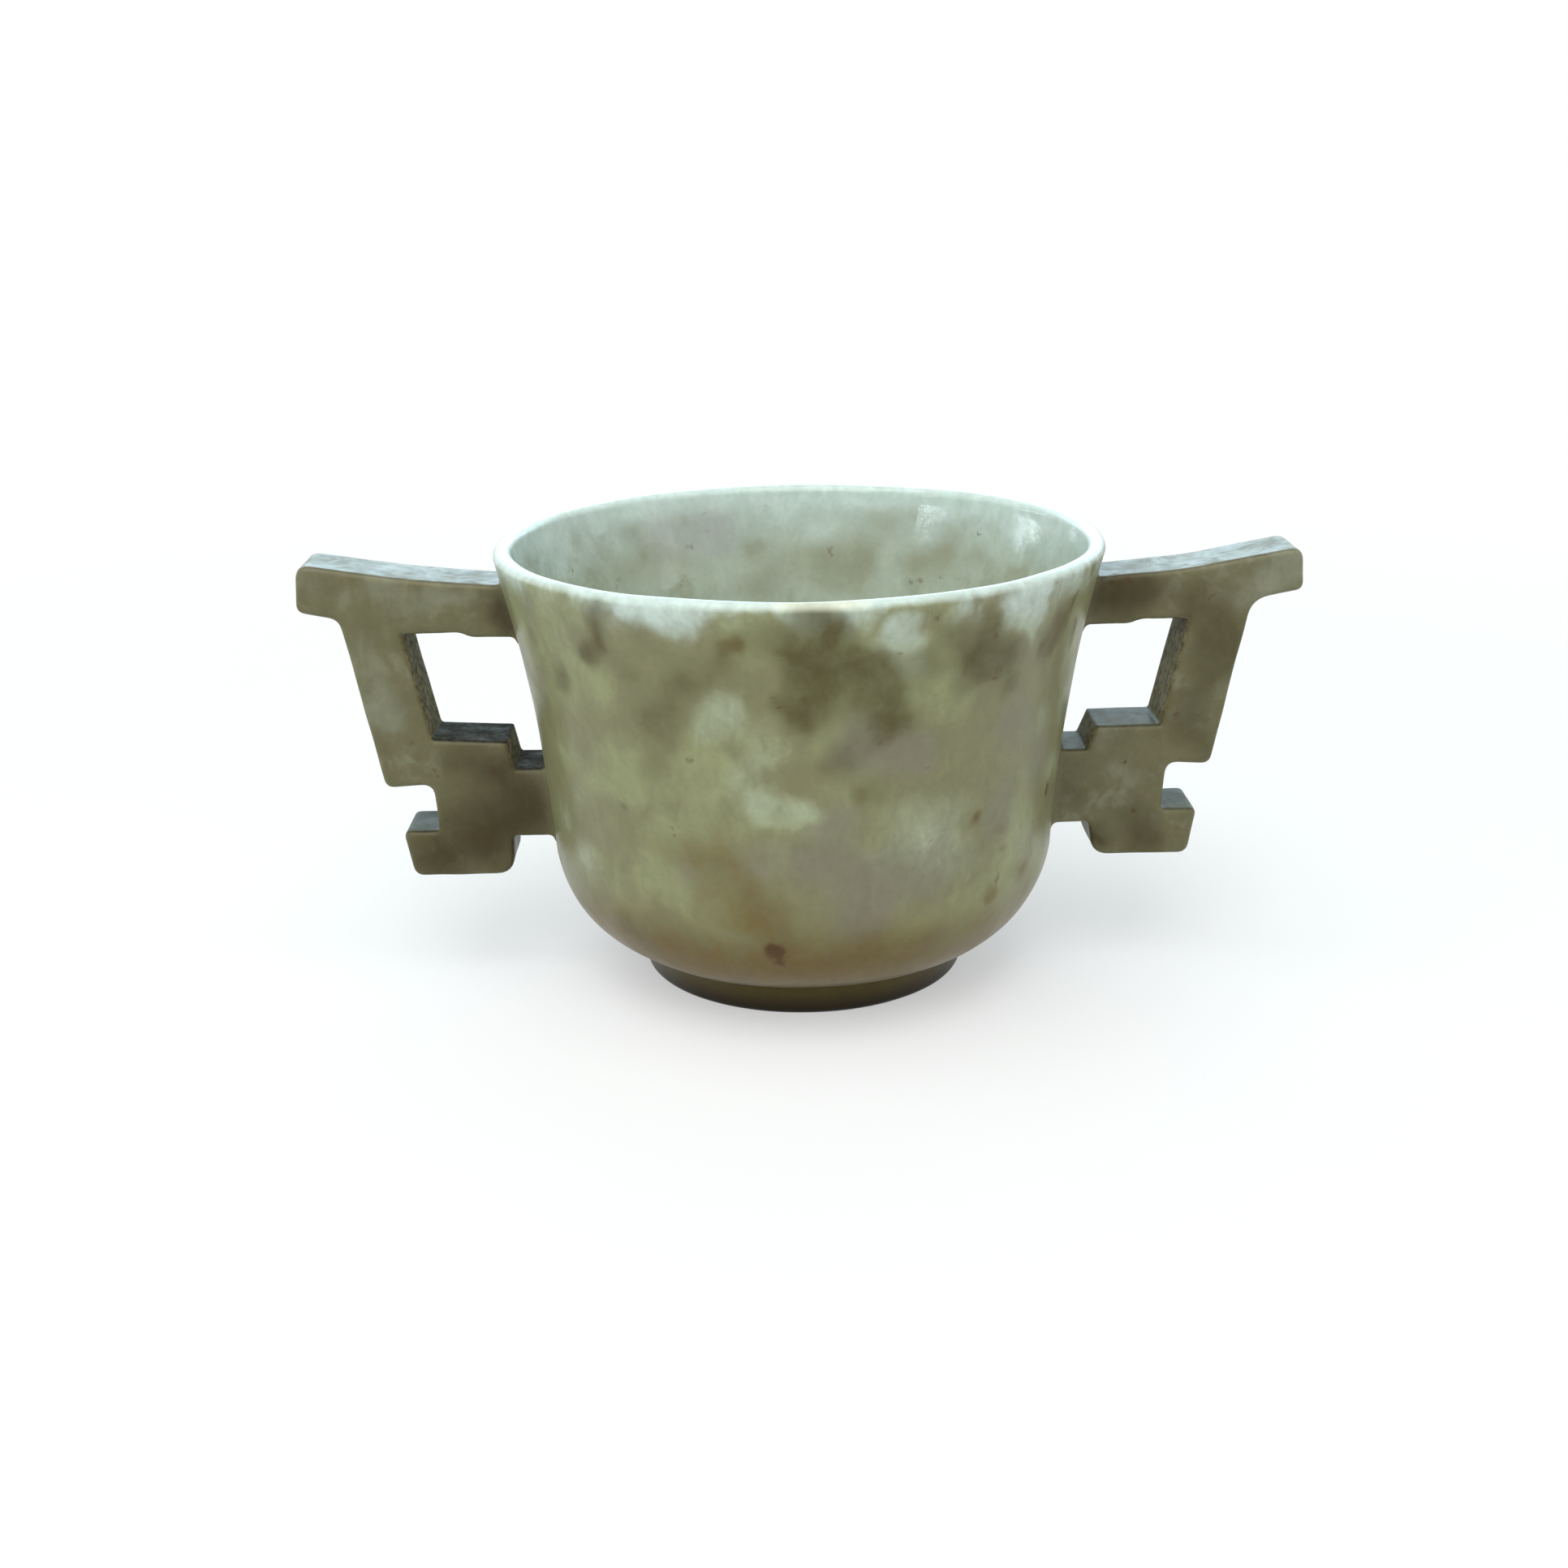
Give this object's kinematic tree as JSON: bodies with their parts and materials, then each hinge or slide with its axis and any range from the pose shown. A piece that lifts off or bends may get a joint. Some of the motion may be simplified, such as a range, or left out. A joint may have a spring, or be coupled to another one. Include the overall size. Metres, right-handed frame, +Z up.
{
  "type": "two-handled stone cup",
  "caption": "Round carved stone drinking cup with a flared lip, a foot ring and flat angular openwork handles on opposite sides.",
  "frame": {"origin": "centre of the foot ring's resting plane, on the bowl's turning axis", "axes": "+Z up along the bowl's axis, +X along the handles towards handle_right, -Y the side seen in the picture"},
  "size_m": [0.1236, 0.075, 0.0554],
  "materials": {
    "bowl_stone": "polished olive-celadon jade with brown clouds, waxy gloss",
    "foot_stone": "polished brownish-olive jade, darker towards the resting face",
    "handle_stone": "polished olive and brown jade, satin on the flat faces"
  },
  "bodies": {
    "root": {"bowl": "bowl_stone", "foot_ring": "foot_stone", "handle_left": "handle_stone", "handle_right": "handle_stone"}
  },
  "joints": []
}
